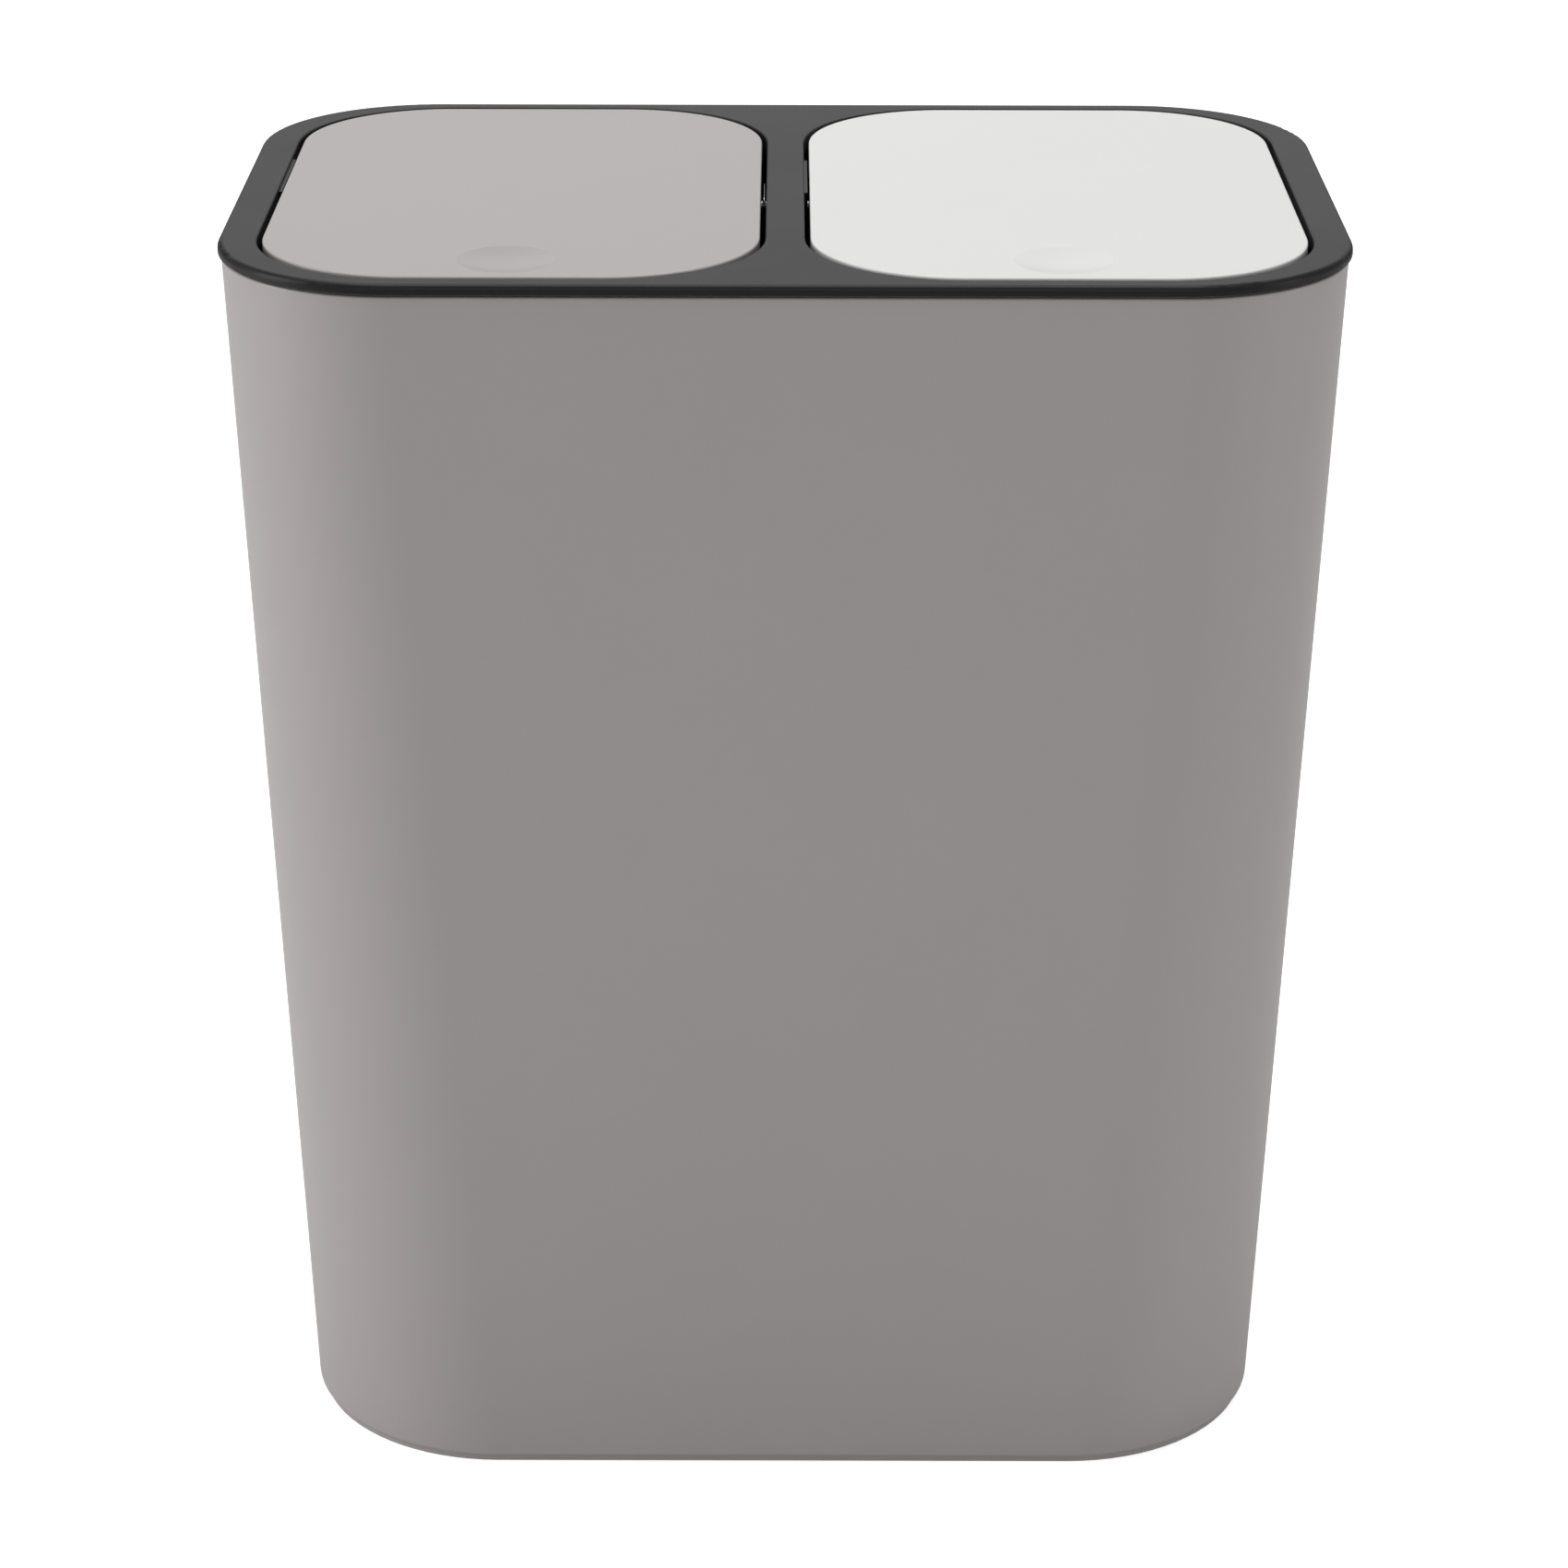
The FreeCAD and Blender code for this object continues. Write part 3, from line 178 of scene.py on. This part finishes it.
def skinned(bm, loops):
    """A closed skin through the loops in their order, with a face over the first and last.

    The loops stand apart while they are joined, because two in one plane would join twisted.
    """
    rings = [edges for edges, height in loops]
    corners = [list({corner for edge in ring for corner in edge.verts}) for ring in rings]
    for count, verts in enumerate(corners):
        bmesh.ops.translate(bm, vec=(0, 0, count * loop_spacing), verts=verts)
    for before, after in zip(rings, rings[1:]):
        bmesh.ops.bridge_loops(bm, edges=before + after)
    for ring in (rings[0], rings[-1]):
        bmesh.ops.contextual_create(bm, geom=ring)
    for count, (edges, height) in enumerate(loops):
        drop = height - count * loop_spacing
        bmesh.ops.translate(bm, vec=(0, 0, drop), verts=corners[count])
    bmesh.ops.recalc_face_normals(bm, faces=bm.faces)


def finished_piece(name, bm, finish):
    """The bmesh as an object: smooth, with the edges past the crisp angle kept sharp."""
    mesh = bpy.data.meshes.new(name)
    bm.to_mesh(mesh)
    bm.free()
    for face in mesh.polygons:
        face.use_smooth = True
    mesh.set_sharp_from_angle(angle=math.radians(crisp_angle))
    mesh.materials.append(finish)
    piece = bpy.data.objects.new(name, mesh)
    scene.collection.objects.link(piece)
    weighted = piece.modifiers.new("weighted", "WEIGHTED_NORMAL")
    weighted.keep_sharp = True
    return piece


def new_finish(name):
    """A material with its node tree, its shader and the piece's own coordinates."""
    finish = bpy.data.materials.new(name)
    finish.use_nodes = True
    tree = finish.node_tree
    place = tree.nodes.new("ShaderNodeTexCoord").outputs["Object"]
    return finish, tree, tree.nodes["Principled BSDF"], place


def surface_noise(tree, place, scale, detail):
    """Noise that stays with the piece."""
    noise = tree.nodes.new("ShaderNodeTexNoise")
    noise.inputs["Scale"].default_value = scale
    noise.inputs["Detail"].default_value = detail
    tree.links.new(place, noise.inputs["Vector"])
    return noise.outputs["Fac"]


def spread(tree, noise, low, high):
    """The noise as a value between low and high."""
    between = tree.nodes.new("ShaderNodeMapRange")
    between.inputs["To Min"].default_value = low
    between.inputs["To Max"].default_value = high
    tree.links.new(noise, between.inputs["Value"])
    return between.outputs["Result"]


def uneven_colour(tree, skin, colour, tone):
    """The shader's colour, made a little lighter and darker by the tone."""
    tint = tree.nodes.new("ShaderNodeMix")
    tint.data_type = "RGBA"
    tint.blend_type = "MULTIPLY"
    tint.inputs["Factor"].default_value = 1
    tint.inputs["A"].default_value = (*colour, 1)
    tree.links.new(tone, tint.inputs["B"])
    tree.links.new(tint.outputs["Result"], skin.inputs["Base Color"])


def fine_relief(tree, skin, noise, strength, depth):
    """The shader's normal, roughened by the noise."""
    relief = tree.nodes.new("ShaderNodeBump")
    relief.inputs["Strength"].default_value = strength
    relief.inputs["Distance"].default_value = depth
    tree.links.new(noise, relief.inputs["Height"])
    tree.links.new(relief.outputs["Normal"], skin.inputs["Normal"])


cloud_scale = 22                        # the slow unevenness of a moulding
plastic_tone = 0.015                    # lighter and darker by this share
plastic_gloss = 0.03                    # rougher and smoother by this much


def moulded_plastic(name, colour, roughness, sheen_level, grain, grain_depth):
    """Moulded plastic with a fine grain and a slight unevenness of tone and gloss."""
    finish, tree, skin, place = new_finish(name)
    skin.inputs["Specular IOR Level"].default_value = sheen_level
    cloud = surface_noise(tree, place, cloud_scale, 3)
    uneven_colour(tree, skin, colour, spread(tree, cloud, 1 - plastic_tone, 1 + plastic_tone))
    gloss = spread(tree, cloud, roughness - plastic_gloss, roughness + plastic_gloss)
    tree.links.new(gloss, skin.inputs["Roughness"])
    fine_relief(tree, skin, surface_noise(tree, place, grain, 2), 0.6, grain_depth)
    return finish


def wall_loop(bm, height, into):
    """The body's outline at a height, moved inwards."""
    share = max(0.0, (height - foot_high) / (rim_level - foot_high))
    wide = foot_wide + (rim_wide - foot_wide) * share - 2 * into
    deep = foot_deep + (rim_deep - foot_deep) * share - 2 * into
    corner = foot_corner + (rim_corner - foot_corner) * share - into
    return outline_loop(bm, wide, deep, corner, height)


bm = bmesh.new()
loops = [
    wall_loop(bm, foot_high, foot_inset + foot_thick),
    wall_loop(bm, 0, foot_inset + foot_thick),
    wall_loop(bm, 0, foot_inset),
    wall_loop(bm, foot_high, foot_inset),
]
for step in range(round_steps + 1):
    angle = math.pi / 2 * step / round_steps
    loops.append(wall_loop(bm, foot_high + base_round * (1 - math.cos(angle)),
                           base_round * (1 - math.sin(angle))))
for step in range(round_steps + 1):
    angle = math.pi / 2 * step / round_steps
    loops.append(wall_loop(bm, rim_level - lip_round * (1 - math.sin(angle)),
                           lip_round * (1 - math.cos(angle))))
loops.append(wall_loop(bm, rim_level, rim_step))
loops.append(outline_loop(bm, rim_wide - 2 * rim_step, rim_deep - 2 * rim_step,
                          rim_corner - rim_step, rim_top))
loops.append(outline_loop(bm, rim_wide - 2 * body_wall, rim_deep - 2 * body_wall,
                          rim_corner - body_wall, rim_top))
loops.append(wall_loop(bm, body_floor, body_wall))
skinned(bm, loops)
taupe = moulded_plastic("taupe_plastic", colour=(0.49, 0.454, 0.449), roughness=0.36,
                        sheen_level=0.5, grain=900, grain_depth=0.00001)
tub = finished_piece("body_shell", bm, taupe)
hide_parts("outer_body")
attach(tub, "bin_body")

# -------------------------------------------------------------------------------- lid frame
# The charcoal frame that drops into the body's rim and carries both lids and latches. It is
# one matt moulding: top plate, skirt, locating wall, throat walls, bearings and cheeks.


def put_on(finish, *names):
    """A CAD piece takes this finish."""
    for name in names:
        materials = nodes[name].data.materials
        materials.clear()
        materials.append(finish)


charcoal = moulded_plastic("charcoal_plastic", colour=(0.0115, 0.011, 0.0112), roughness=0.42,
                           sheen_level=0.31, grain=1400, grain_depth=0.00003)
put_on(charcoal, "lid_frame")

# ------------------------------------------------------------------------------------- lids
# Two flat push-to-open lids in smooth, slightly glossy polypropylene: taupe on the left and
# white on the right. Each has a turned-down edge, two pivot ears and a fingertip dimple.

lid_taupe = moulded_plastic("lid_taupe_plastic", colour=(0.49, 0.462, 0.461), roughness=0.32,
                            sheen_level=0.5, grain=700, grain_depth=0.000008)
lid_white = moulded_plastic("lid_white_plastic", colour=(0.92, 0.92, 0.91), roughness=0.32,
                            sheen_level=0.5, grain=700, grain_depth=0.000008)
put_on(lid_taupe, "left_lid")
put_on(lid_white, "right_lid")

# ------------------------------------------------------------------------------- hinge pins
# Each lid turns on two short headed pins of drawn steel wire, pushed from inside through the
# lid's ears into blind bores in the frame. They show as glints in the gaps beside the lids.

metal_gloss = 0.06                      # rougher and smoother by this much
line_depth = 0.00001

def drawn_metal(name, colour, roughness, streak):
    """Bare metal with fine drawing lines and a slight unevenness of gloss."""
    finish, tree, skin, place = new_finish(name)
    skin.inputs["Metallic"].default_value = 1
    lines = surface_noise(tree, place, streak, 4)
    uneven_colour(tree, skin, colour, spread(tree, lines, 0.9, 1.05))
    gloss = spread(tree, lines, roughness - metal_gloss, roughness + metal_gloss)
    tree.links.new(gloss, skin.inputs["Roughness"])
    fine_relief(tree, skin, lines, 0.3, line_depth)
    return finish


sides = ("left", "right")
pin_steel = drawn_metal("pin_steel", colour=(0.55, 0.55, 0.56), roughness=0.3, streak=1800)
for side in sides:
    put_on(pin_steel, f"{side}_lid_left_pin", f"{side}_lid_right_pin")

# -------------------------------------------------------------------------- torsion springs
# One small torsion spring in the right-hand gap of each lid, coiled from bright music wire
# round the hinge pin. One leg lies against the frame, the other lifts the lid.

spring_steel = drawn_metal("spring_steel", colour=(0.78, 0.78, 0.77), roughness=0.22,
                           streak=2500)
for side in sides:
    put_on(spring_steel, f"{side}_lid_spring")

# ------------------------------------------------------------------- strikers and sliders
# The pieces that catch each other when a lid is pressed: the arrow-headed striker under the
# lid and the clawed slider in the latch, both in uncoloured acetal, smooth and milky.

acetal = moulded_plastic("acetal", colour=(0.72, 0.72, 0.69), roughness=0.3,
                         sheen_level=0.5, grain=600, grain_depth=0.000005)
for side in sides:
    put_on(acetal, f"{side}_striker", f"{side}_latch_slider")

# --------------------------------------------------------------------------- latch housings
# The upright boxes in which the sliders run, in black polypropylene with a matt grain.
# Two screws hold each one between the frame's cheeks.

black = moulded_plastic("black_plastic", colour=(0.018, 0.018, 0.019), roughness=0.5,
                        sheen_level=0.4, grain=1200, grain_depth=0.00002)
for side in sides:
    put_on(black, f"{side}_latch_housing")

# -------------------------------------------------------------- latch springs and cam pins
# A light compression spring under each slider, and the bent wire that follows the groove in
# the slider's back. Both are cut and wound from bright spring wire.

latch_steel = drawn_metal("latch_steel", colour=(0.66, 0.66, 0.65), roughness=0.28,
                          streak=2500)
for side in sides:
    put_on(latch_steel, f"{side}_latch_spring", f"{side}_cam_pin")

# ----------------------------------------------------------------------------- latch screws
# Two self-tapping pan-head screws for each housing, of steel with a dull zinc plating, driven
# through the frame's cheeks into the housing's sides.

zinc = drawn_metal("zinc_plating", colour=(0.5, 0.51, 0.52), roughness=0.42, streak=1200)
for side in sides:
    put_on(zinc, f"{side}_latch_screws")

# ---------------------------------------------------------------------------------- liners
# The lift-out bucket of each compartment, thin-walled and moulded in mid-grey polypropylene
# with a satin finish. It stands loose on the body's floor.

liner_grey = moulded_plastic("liner_plastic", colour=(0.2, 0.2, 0.205), roughness=0.42,
                             sheen_level=0.5, grain=900, grain_depth=0.00001)
for side in sides:
    put_on(liner_grey, f"{side}_liner")

# --------------------------------------------------------------------------- liner handles
# The folding carrying handle that lies round the front half of each liner's rim, a black
# moulded bow of rounded section.

handle_black = moulded_plastic("handle_plastic", colour=(0.02, 0.02, 0.021), roughness=0.45,
                               sheen_level=0.5, grain=900, grain_depth=0.00001)
for side in sides:
    put_on(handle_black, f"{side}_liner_handle")
